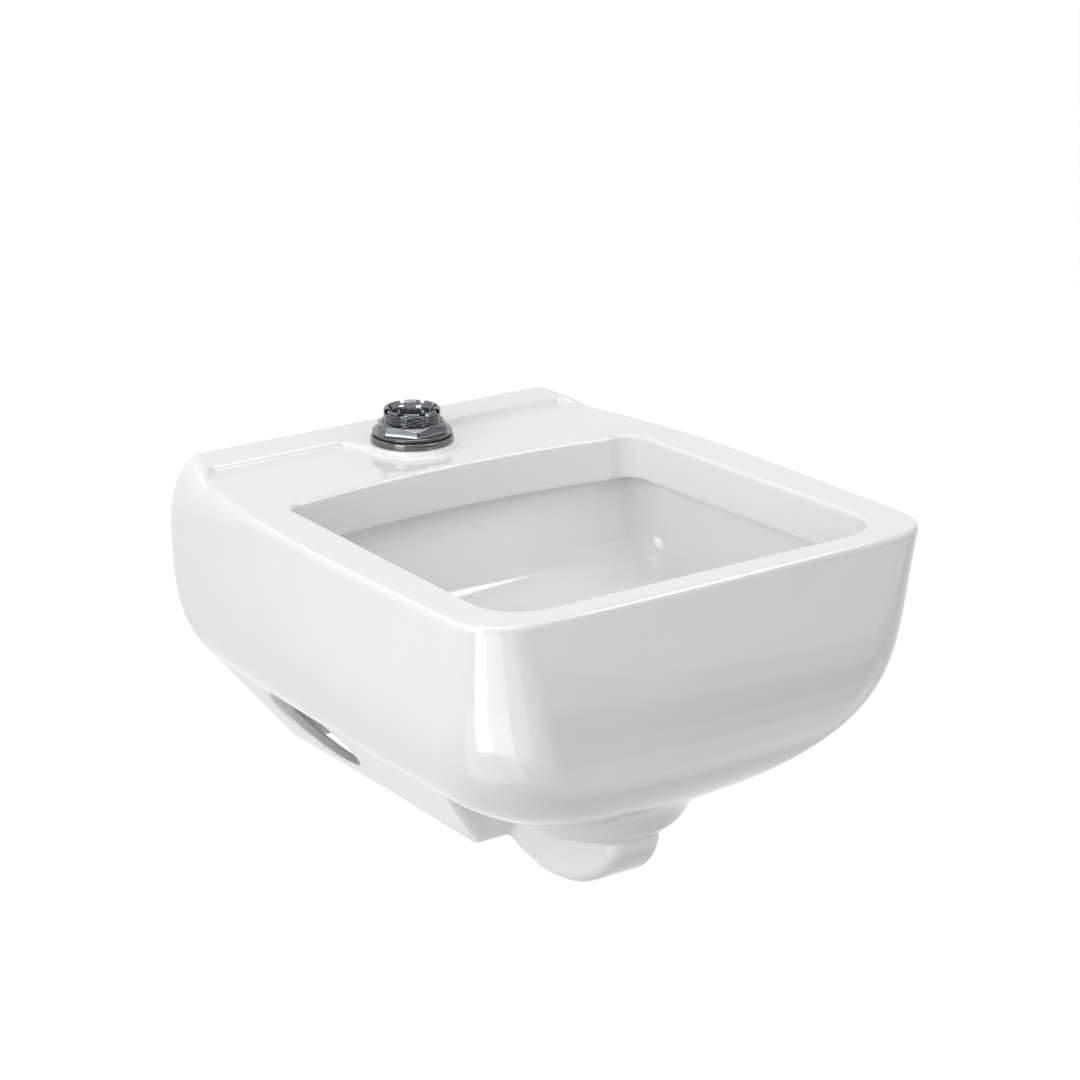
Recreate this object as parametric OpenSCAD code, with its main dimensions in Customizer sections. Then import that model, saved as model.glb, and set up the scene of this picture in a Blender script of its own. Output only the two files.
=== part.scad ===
// Wall-hung clinical sink in vitreous china, with a flushing rim, a siphon trapway and a top inlet spud.
// The wall is the plane y = 0 and the front is towards -y. The centre of the outlet is the origin.
// Depths, named ..._t, are measured down from the top of the rim.

/* [Rim and deck] */
// Widest width over the rim
sink_w = 463; // [420:1:520]
// Depth from the wall to the front of the rim
sink_d = 508; // [470:1:580]
// Width of the back at the wall
wall_w = 424; // [390:1:450]
// Height of the rim above the centre of the outlet
rim_rise = 232; // [222:1:250]
// Width of the rim at each side, from the widest line to the opening
rim_side = 42; // [36:1:48]
// Width of the rim at the front
rim_front = 28; // [26:1:34]
// Depth of the deck from the wall to the opening
deck_d = 130; // [122:1:150]
// How far the back edge of the opening bows towards the wall
opening_bow = 14; // [0:1:20]
// Corner radius of the opening at the front
corner_front = 42; // [30:1:60]
// Corner radius of the opening at the back
corner_back = 30; // [20:1:45]
// Corner radius of the outside of the rim at the front
corner_out = 46; // [34:1:60]
// Bow of the front of the rim
front_bow = 3; // [0:0.5:8]
// Height of the rim casting
rim_h = 41; // [38:1:48]
// Wall thickness of the rim casting
rim_wall = 9; // [8:0.5:10]
// Width of the soft outer edge of the rim
edge_r = 5; // [3:0.5:9]
// Height of the soft outer edge of the rim
edge_h = 7; // [3:0.5:12]
// Width of the round shoulder at the wall
shoulder_r = 32; // [16:1:40]
// Height of the round shoulder at the wall, below the deck
shoulder_h = 50; // [30:1:60]
// Radius of the wash holes in the floor of the rim
wash_r = 3; // [2:0.25:3.5]
// Wash holes along each side of the opening
wash_count = 6; // [3:1:9]

/* [Ledge and boss] */
// Height of the ledge along the wall
ledge_h = 10; // [4:0.5:12]
// Height of the front step of the ledge
ledge_step = 5.5; // [4:0.5:7]
// Depth of the ledge from the wall to its front step
ledge_d = 28; // [20:1:32]
// Distance from the wall to the centre of the spud
spud_y = 63; // [60:1:68]
// Height of the round boss under the spud
boss_h = 5.5; // [4.5:0.5:8]
// Radius of the round boss
boss_r = 41; // [38:0.5:44]
// Width of the raised pad that joins the boss to the ledge
pad_w = 104; // [90:1:116]
// Height of the soft foot round the boss
foot_h = 2; // [1:0.5:3]

/* [Hull and bowl] */
// Depth of the hull, from the rim to its keel line
hull_h = 257; // [250:1:275]
// How square the hull is: a higher number keeps the sides upright for longer
hull_power = 4.6; // [3.8:0.1:5.2]
// How far the front has come back at the keel line
front_rake = 151; // [130:1:180]
// How much rounder the corners of the hull are at their roundest than at the rim
corner_gain = 30; // [10:1:40]
// Depth at which the corners of the hull are roundest
corner_deep_t = 145; // [130:1:180]
// Wall thickness of the body
body_wall = 12; // [11:0.5:13]
// Thickness of the bowl wall over the trapway
floor_wall = 10; // [8:0.5:12]
// How far the rim overhangs the bowl at the back
back_overhang = 16; // [15:1:20]
// How far the back wall of the bowl leans forward on its way down
rear_lean = 23; // [8:1:42]
// Corner radius of the bowl at the back
bowl_corner = 50; // [35:1:60]
// Height of the wide fillet from the back wall of the bowl to the top of the trapway
fillet_h = 41; // [30:1:50]
// Height of the floor of the bowl above the keel line
floor_up = 29; // [26:1:32]
// Height of the mouth of the sump above the keel line
sump_up = 35; // [32:1:38]
// Height of the end of the rear chamber above the keel line
chamber_up = 17; // [14:1:20]

/* [Skirt] */
// Depth where the slanted skirt leaves the hull at the wall
skirt_top_t = 163; // [150:1:175]
// Depth of the bottom edge of the skirt at its front
skirt_bottom_t = 285; // [283:1:296]
// How much the bottom edge of the skirt rises towards the wall
skirt_rise = 8; // [0:1:12]
// Height of the upright lip along the bottom of the skirt
skirt_lip = 5; // [2:0.5:12]
// Width across the bottom edges of the skirt
skirt_bottom_w = 176; // [160:1:190]
// Length of the skirt from the wall, at its bottom edge
skirt_l = 286; // [278:1:292]
// How far the front end of the skirt leans forward on its way up to the hull
skirt_rake = 40; // [10:1:60]
// Distance from the wall to the centre of the hand holes
hand_y = 103; // [90:1:112]
// Depth of the centre of the hand holes
hand_t = 231; // [226:1:234]
// Length of the hand holes
hand_l = 110; // [90:1:124]
// Height of the hand holes
hand_h = 78; // [60:1:84]

/* [Trapway] */
// Radius of the waterway in the trap
water_r = 25; // [22:0.5:26]
// Wall thickness of the trapway
trap_wall = 8; // [7:0.5:9]
// Distance from the wall to the centre of the sump
sump_y = 368; // [364:1:372]
// Bend radius of the waterway under the sump
bend_r = 30; // [28:0.5:33]
// Length of the level run at the bottom of the trap
run_l = 20; // [12:1:26]
// Depth of the centre of the bend under the sump
bend_t = 247; // [245:1:250]
// Depth of the water seal
seal_h = 51; // [50:0.5:56]
// Bend radius of the waterway over the weir
crest_r = 45; // [42:1:50]
// Radius of the mouth of the sump
sump_r = 39; // [34:0.5:41]
// Depth of the seam between the bowl body and the trapway bend
seam_t = 264; // [262:0.5:266]
// How much larger the radius of the pad is at its top than the mouth of the sump
pad_gain = 43; // [36:1:46]
// How far the foot of the pad reaches past the side of the keel
pad_lap = 2; // [1:0.5:4]
// Distance of the centre of the pad behind the centre of the sump
pad_back = 25; // [15:1:30]
// Wall thickness of the keel round the bottom of the trap
keel_wall = 9; // [8.5:0.5:11]
// Width of the keel where it meets the skirt
keel_w = 116; // [100:1:124]
// Width of the keel at its front
keel_front_w = 58; // [52:1:70]
// Corner radius of the keel at its front
keel_corner = 14; // [8:1:20]
// Radius along the bottom sides of the keel
keel_side_r = 24; // [14:1:26]
// Radius of the outlet bore
outlet_r = 38.1; // [36:0.1:41]
// Wall thickness of the outlet horn
horn_wall = 10; // [8:0.5:11]
// Length of the straight outlet bore
outlet_l = 60; // [50:1:70]
// Radius of the waterway in the jet channel
jet_r = 9; // [7:0.5:10]
// Wall thickness of the jet channel
jet_wall = 6; // [5:0.5:7]
// Distance of the jet channel from the middle
jet_x = 66; // [64:0.5:70]
// Depth of the jet channel under the bowl
jet_t = 240; // [237:1:243]
// Depth at which the jet enters the sump
jet_aim_t = 250; // [247:1:253]
// Bend radius of the jet channel
jet_bend_r = 30; // [26:1:34]

/* [Wall mounting] */
// Spacing of the bolt holes across the back
bolt_w = 228.6; // [200:0.1:240]
// Spacing of the bolt holes up the back
bolt_h = 101.6; // [90:0.1:110]
// Height of the lower bolt holes above the centre of the outlet
bolt_low = 36; // [34:0.5:44]
// Radius of the bolt holes
bolt_r = 8.5; // [6.5:0.25:10]

/* [Spud] */
// Outer radius of the threaded tube
tube_r = 25.4; // [24:0.1:26.5]
// Radius of the bore of the tube, for the flush tube
tube_bore_r = 19.3; // [18:0.1:20]
// Height of the tube above the boss
tube_h = 30; // [28:0.5:36]
// Number of notches in the top of the tube
notch_count = 8; // [4:1:8]
// Width of each notch
notch_w = 5.5; // [4:0.25:7]
// Depth of each notch
notch_d = 3; // [2:0.25:4]
// Angle of the first notch from the front
notch_a = -12; // [-22:1:22]
// Radius of the plain chrome ring
ring_r = 36.8; // [34:0.1:38]
// Height of the plain chrome ring
ring_h = 6; // [4:0.25:7]
// Height of the dark friction ring
friction_h = 1.5; // [1:0.25:2.5]
// Radius of the washer face of the nut
nut_face_r = 35.4; // [33:0.1:36.5]
// Height of the washer face of the nut
nut_face_h = 2.5; // [1.5:0.25:3.5]
// Width of the nut across its flats
nut_flats = 57; // [54:0.25:60]
// Height of the hexagon of the nut
nut_hex_h = 8.5; // [7:0.25:9.5]
// Angle of one corner of the hexagon from the front
nut_a = -24; // [-30:1:30]
// Radius of the hole for the spud in the deck
spud_hole_r = 29.5; // [28.5:0.1:31]
// Thickness of the lip of the gasket under the deck
gasket_h = 6; // [5:0.25:7]
// Thickness of the flange at the foot of the tube
flange_h = 3; // [2.5:0.25:4]

/* [Clearances] */
// Gap left in each luted joint between curved faces
lute = 0.3; // [0.2:0.05:0.5]
// Radial gap between the tube and the nut
thread_gap = 0.1; // [0.05:0.05:0.2]
// Radial gap between the tube and the rings
ring_gap = 0.5; // [0.3:0.1:0.8]

/* [Hidden] */
china = "white";
chrome = "silver";
$fn = 64;
// A cut runs this far past the face it opens
over = 1;
// Steps round half a ring: back edge, back corner, side, front corner and front edge
nb = 4;
ncb = 6;
ns = 4;
nc = 7;
nf = 3;
half_w = sink_w / 2;
open_w = half_w - rim_side;
open_front = -(sink_d - rim_front);
open_back = -deck_d;
// The sides reach their full width this far from the wall, and the shoulder fades out this far
taper_l = 0.65 * sink_d;
shoulder_l = 220;
// Outline of the sides behind the first straight stretch
back_part_y = -170;
deck_wall = rim_wall + 2;
// The sump, the bends of the waterway and the straight legs between them
s45 = sin(45);
bend_y = -(sump_y - bend_r);
rise_y = bend_y + run_l;
dip_t = bend_t + bend_r - water_r;
crest_t = dip_t - seal_h - water_r;
crest_mid_t = crest_t + crest_r;
leg_y = rise_y + bend_r * s45;
leg_t = bend_t + bend_r * s45;
crest_y = leg_y + (leg_t - (crest_mid_t - crest_r * s45)) + crest_r * s45;
out_bend_r = crest_r;
drop_t = rim_rise - out_bend_r * (1 - s45);
drop_y = crest_y + crest_r * s45 + drop_t - (crest_mid_t - crest_r * s45);
out_y = drop_y + out_bend_r * s45;
trap_r = water_r + trap_wall;
keel_r = bend_r + water_r + keel_wall;
keel_end_t = bend_t + keel_r;
horn_r = outlet_r + horn_wall;
horn_back = -outlet_l;
keel_back_y = -(skirt_l - body_wall);
// Sides round the waterway and round the outside of the trapway
way_n = 32;
// The riser starts between two stations, at this angle of the bend, where the way has turned up
riser_a = 310;
// First station of the way past the start of the riser
riser_start = 5;
// Stations of the waterway before it is well inside the riser: mouth, bend and rise
front_stations = 2 + 10 + riser_start + 1;
// Depths of the floor of the bowl, of the mouth of the sump and of the end of the rear chamber
bowl_end_t = hull_h - floor_up;
sump_top_t = hull_h - sump_up;
chamber_end_t = hull_h - chamber_up;
pad_top_r = sump_r + pad_gain;
pad_low_r = keel_w / 2 + pad_lap;
pad_y = -(sump_y - pad_back);
// The hull is cut off level just above its keel line
hull_cut = 10;
hull_end_t = hull_h - hull_cut;
// Outline of the skirt: half-width at a depth, on the slanted plane
skirt_slope = (wall_x(skirt_top_t) - skirt_bottom_w / 2) / (skirt_bottom_t - skirt_lip - skirt_top_t);
skirt_wall_x = body_wall * sqrt(1 + skirt_slope * skirt_slope);
// The raked front end of the skirt has gone into the hull at this depth
rake_end_t = hull_h - 40;
jet_y = -(spud_y + 12);
jet_end_y = -(skirt_l - body_wall);
boss_top = rim_rise + boss_h;
stack_z = boss_top + ring_h + friction_h;
deck_under = rim_rise - deck_wall;
gasket_r = spud_hole_r + 6.5;
flange_r = spud_hole_r + 4;

function z_at(t) = rim_rise - t;
function sq(v) = v * v;
// Share of the width that the hull has lost at a depth
function sag(t, ins) = pow(max(t, 0) / (hull_h - ins), hull_power);
function side_hw(y) = half_w - (sink_w - wall_w) / 2 * sq(max(0, 1 + y / taper_l));
// Inset of the soft edge: small at the front, a wide shoulder at the wall
function edge_in(y, t) =
    let (s = sq(max(0, 1 + y / shoulder_l)), ex = edge_r + (shoulder_r - edge_r) * s,
         et = edge_h + (shoulder_h - edge_h) * s, up = ledge_h * s)
    t >= et ? 0 : ex * (1 - sqrt(max(0, 1 - sq((et - t) / (et + up)))));
function side_x(y, t, ins) = (side_hw(y) - ins) * (1 - sag(t, ins)) - edge_in(y, t);
function wall_x(t) = side_x(0, t, 0);
function front_y(t, ins) = -(sink_d - ins) + front_bow + front_rake * sag(t, ins) + edge_in(-sink_d, t);
function corner_r(t, ins) = let (u = t / corner_deep_t, grown = corner_out + corner_gain * (1 - sq(1 - u)))
    min(max(6, grown - ins - edge_in(-sink_d, t)), side_x(-sink_d, t, ins) - 1);
function skirt_x(t) = max(skirt_bottom_w / 2, wall_x(skirt_top_t) - skirt_slope * (t - skirt_top_t));
// Back wall of the bowl: nearly upright, then a fillet, then over the weir and down to the sump
function rear_y(t, w) =
    let (ro = crest_r + trap_r + lute + w, top = crest_mid_t - ro, start = top - fillet_h,
         y0 = -(deck_d - back_overhang) + floor_wall - w, ya = y0 - rear_lean,
         turn = crest_mid_t - ro * s45)
    t <= start ? y0 - rear_lean * max(0, t - rim_h) / (start - rim_h) :
    t <= top ? ya - (ya - crest_y) * (1 - sqrt(max(0, 1 - sq((t - start) / fillet_h)))) :
    t <= turn ? crest_y - sqrt(max(0, sq(ro) - sq(crest_mid_t - t))) :
    crest_y - ro * s45 - (t - turn);

// Front corner and front edge of a half ring, from the side round to the middle
function front_part(x1, yf, r, bow) = concat(
    [for (i = [1 : nc]) let (a = 90 * i / nc) [x1 - r + r * cos(a), yf + r - r * sin(a)]],
    [for (i = [1 : nf]) let (x = (x1 - r) * (1 - i / nf)) [x, yf - bow * (1 - sq(x / (x1 - r)))]]);
// Outer half ring: back edge on the wall, side, corner, front
function outer_half(t, ins) =
    let (yf = front_y(t, ins), r = corner_r(t, ins), yc = yf + r, yb = -ins, xb = side_x(yb, t, ins),
         ym = max(back_part_y, yc + 40))
    concat([for (i = [0 : nb - 1]) [xb * i / nb, yb]],
           [for (i = [0 : ncb]) let (y = yb + (ym - yb) * i / ncb) [side_x(y, t, ins), y]],
           [for (i = [1 : ns]) let (y = ym + (yc - ym) * i / ns) [side_x(y, t, ins), y]],
           front_part(side_x(yc, t, ins), yf, r, front_bow));
// Half ring with a bowed back edge and a round back corner
function inner_half(yb, bow, rb, x1, x2, yf, rf) =
    let (xc = x1 - rb, yc = yb - bow - rb, ye = yf + rf)
    concat([for (i = [0 : nb - 1]) let (x = xc * i / nb) [x, yb - bow * sq(x / xc)]],
           [for (i = [0 : ncb]) let (a = 90 * i / ncb) [xc + rb * sin(a), yc + rb * cos(a)]],
           [for (i = [1 : ns]) let (k = i / ns) [x1 + (x2 - x1) * k, yc + (ye - yc) * k]],
           front_part(x2, yf, rf, 0));
function opening_half(o) = inner_half(open_back + o, opening_bow, corner_back + o,
    open_w + o - 2, open_w + o + 2, open_front - o, corner_front + o);
function bowl_half(t) =
    let (yb = rear_y(t, floor_wall), yf = front_y(t, body_wall), len = yb - yf,
         bow = opening_bow * max(0, 1 - (t - rim_h) / 60), x2 = side_x(yf, t, body_wall),
         rb = min(bowl_corner, len / 2.4, x2 / 1.6), rf = min(corner_r(t, body_wall), len / 2.4))
    inner_half(yb, bow, rb, side_x(yb - bow - rb, t, body_wall), x2, yf, rf);
function chamber_half(t) =
    let (yb = -body_wall, yf = max(rear_y(t, 0), -(skirt_l - body_wall)),
         xf = side_x(yf, t, body_wall))
    concat([for (i = [0 : nb - 1]) [side_x(yb, t, body_wall) * i / nb, yb]],
           [for (i = [0 : ncb]) let (y = yb + (yf - yb) * i / ncb) [side_x(y, t, body_wall), y]],
           [for (i = [1 : nf]) [xf * (1 - i / nf), yf]]);
// A whole ring from its right half, as points in space
function ring_at(h, z) = concat([for (p = h) [p[0], p[1], z]],
    [for (i = [len(h) - 2 : -1 : 1]) [-h[i][0], h[i][1], z]]);
function flat_list(l) = [for (a = l) for (b = a) b];

// Middle of a ring, between its first point and the one opposite
function ring_middle(r) = (r[0] + r[len(r) / 2]) / 2;
// Solid through a stack of rings, closed by a fan at its first and last ring
module skin(rings) {
    n = len(rings[0]);
    m = len(rings);
    sides = [for (k = [0 : m - 2]) for (i = [0 : n - 1]) let (j = (i + 1) % n)
        each [[k * n + i, k * n + j, (k + 1) * n + j], [k * n + i, (k + 1) * n + j, (k + 1) * n + i]]];
    low = [for (i = [0 : n - 1]) [(i + 1) % n, i, m * n]];
    high = [for (i = [0 : n - 1]) [(m - 1) * n + i, (m - 1) * n + (i + 1) % n, m * n + 1]];
    polyhedron(concat(flat_list(rings), [ring_middle(rings[0]), ring_middle(rings[m - 1])]),
        concat(sides, low, high));
}
// Ring-shaped solid through rings that come back to the first one
module torus_skin(rings) {
    n = len(rings[0]);
    m = len(rings);
    polyhedron(flat_list(rings), [for (k = [0 : m - 1]) for (i = [0 : n - 1])
        let (j = (i + 1) % n, q = (k + 1) % m)
        each [[k * n + i, k * n + j, q * n + j], [k * n + i, q * n + j, q * n + i]]]);
}
// Profile in y and z, drawn across x
module across(w) {
    translate([-w / 2, 0, 0]) rotate([90, 0, 90]) linear_extrude(w) children();
}
module along_y(y1, y2) {
    translate([0, y2, 0]) rotate([90, 0, 0]) linear_extrude(y2 - y1) children();
}
// Straight round leg between two points of the y-z plane
module leg(p, q, r1, r2) {
    dy = q[0] - p[0];
    dz = q[1] - p[1];
    translate([0, p[0], p[1]]) rotate([atan2(-dy, dz), 0, 0])
        cylinder(h = sqrt(sq(dy) + sq(dz)), r1 = r1, r2 = r2);
}
// Round bend in the y-z plane, from one angle through another
module bend(y, z, r, a1, a, tube) {
    translate([0, y, z]) rotate([90, 0, 90]) rotate([0, 0, a1])
        rotate_extrude(angle = a) translate([r, 0]) circle(r = tube);
}
// Stations of the trap, each with its y, its depth, the direction of the way and its radius
function arc_way(y, t, r, a1, a2, n, turn, tube) = [for (i = [0 : n]) let (a = a1 + (a2 - a1) * i / max(n, 1))
    [y + r * cos(a), t - r * sin(a), a + turn, tube]];
function rise_way(r) = concat(
    arc_way(rise_y, bend_t, bend_r, 270, 315, 5, 90, r),
    arc_way(crest_y, crest_mid_t, crest_r, 135, 45, 10, -90, r),
    arc_way(out_y, rim_rise - out_bend_r, out_bend_r, 225, 270, 5, 90, r));
function water_way() = concat(
    [[-sump_y, sump_top_t - over, -90, sump_r + over], [-sump_y, sump_top_t + sump_r - water_r, -90, water_r]],
    arc_way(bend_y, bend_t, bend_r, 180, 270, 9, 90, water_r),
    rise_way(water_r),
    [[horn_back - 4, rim_rise, 0, outlet_r - 1], [horn_back + over, rim_rise, 0, outlet_r - 1]]);
// Ring of points round one station, square to the way
function way_ring(w, n) = [for (i = [0 : n - 1]) let (a = 360 * i / n)
    [w[3] * cos(a), w[0] - w[3] * sin(a) * sin(w[2]), z_at(w[1]) + w[3] * sin(a) * cos(w[2])]];
// The waterway as far as the start of the riser, and from there to the wall
module waterway_front() {
    way = water_way();
    skin([for (i = [0 : front_stations]) way_ring(way[i], way_n)]);
}
module waterway_rear() {
    way = water_way();
    skin([for (i = [front_stations - 3 : len(way) - 1]) way_ring(way[i], way_n)]);
    leg([horn_back, 0], [over, 0], outlet_r, outlet_r);
}
// Outside of the riser, with an even gap for the sockets that it sits in
module riser_outside(gap) {
    way = rise_way(trap_r + gap);
    rings = concat(arc_way(rise_y, bend_t, bend_r, riser_a, riser_a, 0, 90, trap_r + gap),
        [for (i = [riser_start : len(way) - 1]) way[i]],
        [[horn_back + over, rim_rise, 0, horn_r + gap - 1]]);
    skin([for (w = rings) way_ring(w, way_n)]);
    leg([horn_back, 0], [gap > 0 ? over : 0, 0], horn_r + gap, horn_r + gap);
}
// Block round the bottom of the trap: narrow with round corners at the front, wide at the skirt
module keel(gap) {
    low = [0, 15, 30, 45, 60, 75, 88];
    round_t = keel_end_t - keel_side_r;
    depths = concat([seam_t, (seam_t + round_t) / 2], [for (a = low) round_t + keel_side_r * sin(a)]);
    n = len(depths);
    skin([for (k = [n - 1 : -1 : 0]) ring_at(keel_half(depths[k], gap), z_at(depths[k] + (k == 0 ? 0 : gap)))]);
}
function keel_half(t, gap) =
    let (down = max(0, t - keel_end_t + keel_side_r) / keel_side_r,
         inset = keel_side_r * (1 - sqrt(max(0, 1 - sq(down)))) - gap,
         yf = bend_y - sqrt(max(0, sq(keel_r) - sq(t - bend_t))) - gap,
         xf = keel_front_w / 2 - inset, xb = keel_w / 2 - inset)
    concat([[0, keel_back_y + gap], [xb / 2, keel_back_y + gap], [xb, keel_back_y + gap], [xb, -skirt_l]],
        front_part(xf, yf, min(keel_corner, xf - 1), 0));

module bowl_body() {
    color(china) difference() {
        union() {
            hull_solid();
            skirt_solid();
            sump_pad();
        }
        bowl_hollow();
        chamber_hollow();
        skirt_hollow();
        skirt_foot();
        keel(lute);
        riser_outside(lute);
        waterway_front();
        hand_holes();
        bolt_holes();
        jet_bore();
    }
}
module hull_solid() {
    levels = 11;
    skin([for (k = [levels : -1 : 0]) let (t = rim_h + (hull_end_t - rim_h) * (1 - sq(1 - k / levels)))
        ring_at(outer_half(t, 0), z_at(t))]);
}
module skirt_solid() {
    ts = [skirt_top_t, skirt_bottom_t - skirt_lip, skirt_bottom_t];
    intersection() {
        along_y(-skirt_l - skirt_rake, 0) polygon(concat([for (t = ts) [-skirt_x(t), z_at(t)]],
            [for (i = [2 : -1 : 0]) [skirt_x(ts[i]), z_at(ts[i])]]));
        across(2 * wall_w) polygon([[0, z_at(skirt_bottom_t)], [0, z_at(skirt_top_t)],
            [-skirt_l - skirt_rake, z_at(skirt_top_t)], [-skirt_l - skirt_rake, z_at(rake_end_t)],
            [-skirt_l, z_at(skirt_bottom_t)]]);
    }
}
module sump_pad() {
    translate([0, pad_y, z_at(seam_t)]) cylinder(h = seam_t - sump_top_t, r1 = pad_low_r, r2 = pad_top_r);
    translate([-pad_low_r, pad_y, z_at(seam_t)]) cube([2 * pad_low_r, -skirt_l - pad_y + over, 40]);
}
module bowl_hollow() {
    bowl_top = crest_mid_t - crest_r - trap_r - lute - floor_wall;
    fillet = [for (a = [0, 30, 55, 75, 90])
        bowl_top - fillet_h + fillet_h * sin(a)];
    weir = [for (a = [15, 30, 45]) crest_mid_t - (crest_mid_t - bowl_top) * cos(a)];
    slope = [for (k = [1 : 4]) weir[2] + (bowl_end_t - weir[2]) * k / 4];
    depths = concat([rim_h, (rim_h + fillet[0]) / 2], fillet, weir, slope);
    n = len(depths);
    skin(concat([for (k = [n - 1 : -1 : 0]) ring_at(bowl_half(depths[k]), z_at(depths[k]))],
        [ring_at(bowl_half(rim_h), z_at(rim_h - over))]));
}
// Depth where the roof of the chamber has turned down along the trapway
function chamber_turn_t() = crest_mid_t - (crest_r + trap_r + lute) * s45;
module chamber_hollow() {
    top = crest_mid_t - crest_r - trap_r - lute;
    depths = concat([rim_h, (rim_h + top - fillet_h) / 2],
        [for (a = [0, 35, 60, 90]) top - fillet_h + fillet_h * sin(a)],
        [for (a = [20, 45]) crest_mid_t - (crest_mid_t - top) * cos(a)],
        [for (k = [1 : 3]) chamber_turn_t() + (chamber_end_t - chamber_turn_t()) * k / 3]);
    n = len(depths);
    skin(concat([for (k = [n - 1 : -1 : 0]) ring_at(chamber_half(depths[k]), z_at(depths[k]))],
        [ring_at(chamber_half(rim_h), z_at(rim_h - over))]));
}
module skirt_hollow() {
    ts = [skirt_top_t + 30, skirt_bottom_t - skirt_lip, skirt_bottom_t + over];
    along_y(-(skirt_l - body_wall), -body_wall) polygon(concat(
        [for (t = ts) [-skirt_x(t) + skirt_wall_x, z_at(t)]],
        [for (i = [2 : -1 : 0]) [skirt_x(ts[i]) - skirt_wall_x, z_at(ts[i])]]));
}
// Cut that lets the bottom edge of the skirt rise towards the wall
module skirt_foot() {
    low = z_at(skirt_bottom_t + 2 * over);
    across(2 * wall_w) polygon([[over, low], [over, z_at(skirt_bottom_t - skirt_rise)],
        [-skirt_l - over, z_at(skirt_bottom_t)], [-skirt_l - over, low]]);
}
module hand_holes() {
    for (s = [-1, 1]) translate([s * half_w / 2, -hand_y, z_at(hand_t)]) rotate([90, 0, 90])
        linear_extrude(half_w, center = true)
            polygon([for (a = [0 : 10 : 350]) [hand_l / 2 * cos(a), hand_h / 2 * sin(a)]]);
}
module bolt_holes() {
    for (x = [-bolt_w / 2, bolt_w / 2], z = [bolt_low, bolt_low + bolt_h])
        translate([x, over, z]) rotate([90, 0, 0]) cylinder(h = body_wall + 2 * over, r = bolt_r);
}
// Drilled way from the end of the jet channel to the sump
module jet_bore() {
    dx = -jet_x;
    dy = -sump_y - jet_end_y;
    flat = sqrt(sq(dx) + sq(dy));
    drop = jet_aim_t - jet_t;
    translate([jet_x, jet_end_y, z_at(jet_t)]) rotate([0, 90 + atan2(drop, flat), atan2(dy, dx)])
        translate([0, 0, -over]) cylinder(h = sqrt(sq(flat) + sq(drop)), r = jet_r);
}

module flushing_rim() {
    color(china) difference() {
        union() {
            rim_solid();
            ledge();
            boss();
        }
        rim_channel();
        translate([0, -spud_y, z_at(deck_wall + over)])
            cylinder(h = deck_wall + boss_h + 2 * over, r = spud_hole_r);
        translate([jet_x, jet_y, z_at(rim_h + over)]) cylinder(h = rim_wall + 3, r = jet_r);
        wash_holes();
    }
}
module rim_solid() {
    levels = 6;
    outside = [for (k = [0 : levels]) let (t = rim_h * pow(1 - k / levels, 2.2))
        ring_at(outer_half(t, 0), z_at(t))];
    lip = 4;
    inside = [for (p = [[lip, 0], [lip * 0.3, lip * 0.3], [0, lip], [0, rim_h - 2], [2, rim_h]])
        ring_at(opening_half(p[0]), z_at(p[1]))];
    torus_skin(concat(outside, inside));
}
module rim_channel() {
    t1 = deck_wall;
    t2 = rim_h - rim_wall;
    ins = rim_wall + 1;
    torus_skin([ring_at(outer_half(t2, ins), z_at(t2)), ring_at(outer_half(t1, ins), z_at(t1)),
        ring_at(opening_half(rim_wall - 1), z_at(t1)), ring_at(opening_half(rim_wall - 1), z_at(t2))]);
}
module wash_holes() {
    o = rim_wall + wash_r;
    y1 = open_back - opening_bow - corner_back - 10;
    y2 = open_front + corner_front + 10;
    x2 = open_w - corner_front - 20;
    for (i = [0 : wash_count - 1]) {
        k = i / (wash_count - 1);
        y = y1 + (y2 - y1) * k;
        x = -x2 + 2 * x2 * k;
        for (s = [-1, 1]) wash_hole(s * (open_w + o), y);
        wash_hole(x, open_front - o);
        wash_hole(x, open_back - opening_bow * sq(x / open_w) + o);
    }
}
module wash_hole(x, y) {
    translate([x, y, z_at(rim_h + over)]) cylinder(h = rim_wall + 3, r = wash_r, $fn = 16);
}
module ledge() {
    foot = 4;
    r = 2.5;
    intersection() {
        across(wall_w) translate([0, rim_rise]) polygon(concat([[0, -3], [0, ledge_h]],
            [for (a = [0 : 30 : 90]) [-ledge_d + r - r * sin(a), ledge_step - r + r * cos(a)]],
            [[-ledge_d - foot * 0.15, ledge_step * 0.36], [-ledge_d - foot * 0.45, ledge_step * 0.11],
             [-ledge_d - foot, 0], [-ledge_d - foot, -3]]));
        along_y(-2 * ledge_d, 0) translate([0, rim_rise]) shoulder_outline();
    }
}
// Top of the sink seen from the front at the wall: flat, with an elliptical shoulder at each side
module shoulder_outline() {
    xc = wall_w / 2 - shoulder_r;
    h = shoulder_h + ledge_h;
    a1 = asin((shoulder_h - 3) / h);
    arc = [for (i = [0 : 8]) let (a = a1 + (90 - a1) * i / 8)
        [xc + shoulder_r * cos(a), h * sin(a) - shoulder_h]];
    polygon(concat(arc, [for (i = [8 : -1 : 0]) [-arc[i][0], arc[i][1]]]));
}
module boss() {
    foot_w = 6;
    edge = 1;
    sunk = 2;
    translate([0, -spud_y, rim_rise - sunk]) rotate_extrude() polygon([[0, 0], [boss_r + foot_w, 0],
        [boss_r + foot_w, sunk], [boss_r + foot_w / 2, foot_h * 0.3 + sunk], [boss_r + edge, foot_h + sunk],
        [boss_r, boss_h + sunk - edge], [boss_r - edge, boss_h + sunk], [0, boss_h + sunk]]);
    // The pad between the boss and the ledge
    lap = 4;
    translate([0, 0, rim_rise - sunk]) linear_extrude(boss_h + sunk) polygon([[-pad_w / 2, -ledge_d + lap],
        [-pad_w / 2, -ledge_d - lap / 2], [-boss_r + edge, -spud_y], [boss_r - edge, -spud_y],
        [pad_w / 2, -ledge_d - lap / 2], [pad_w / 2, -ledge_d + lap]]);
}

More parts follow.
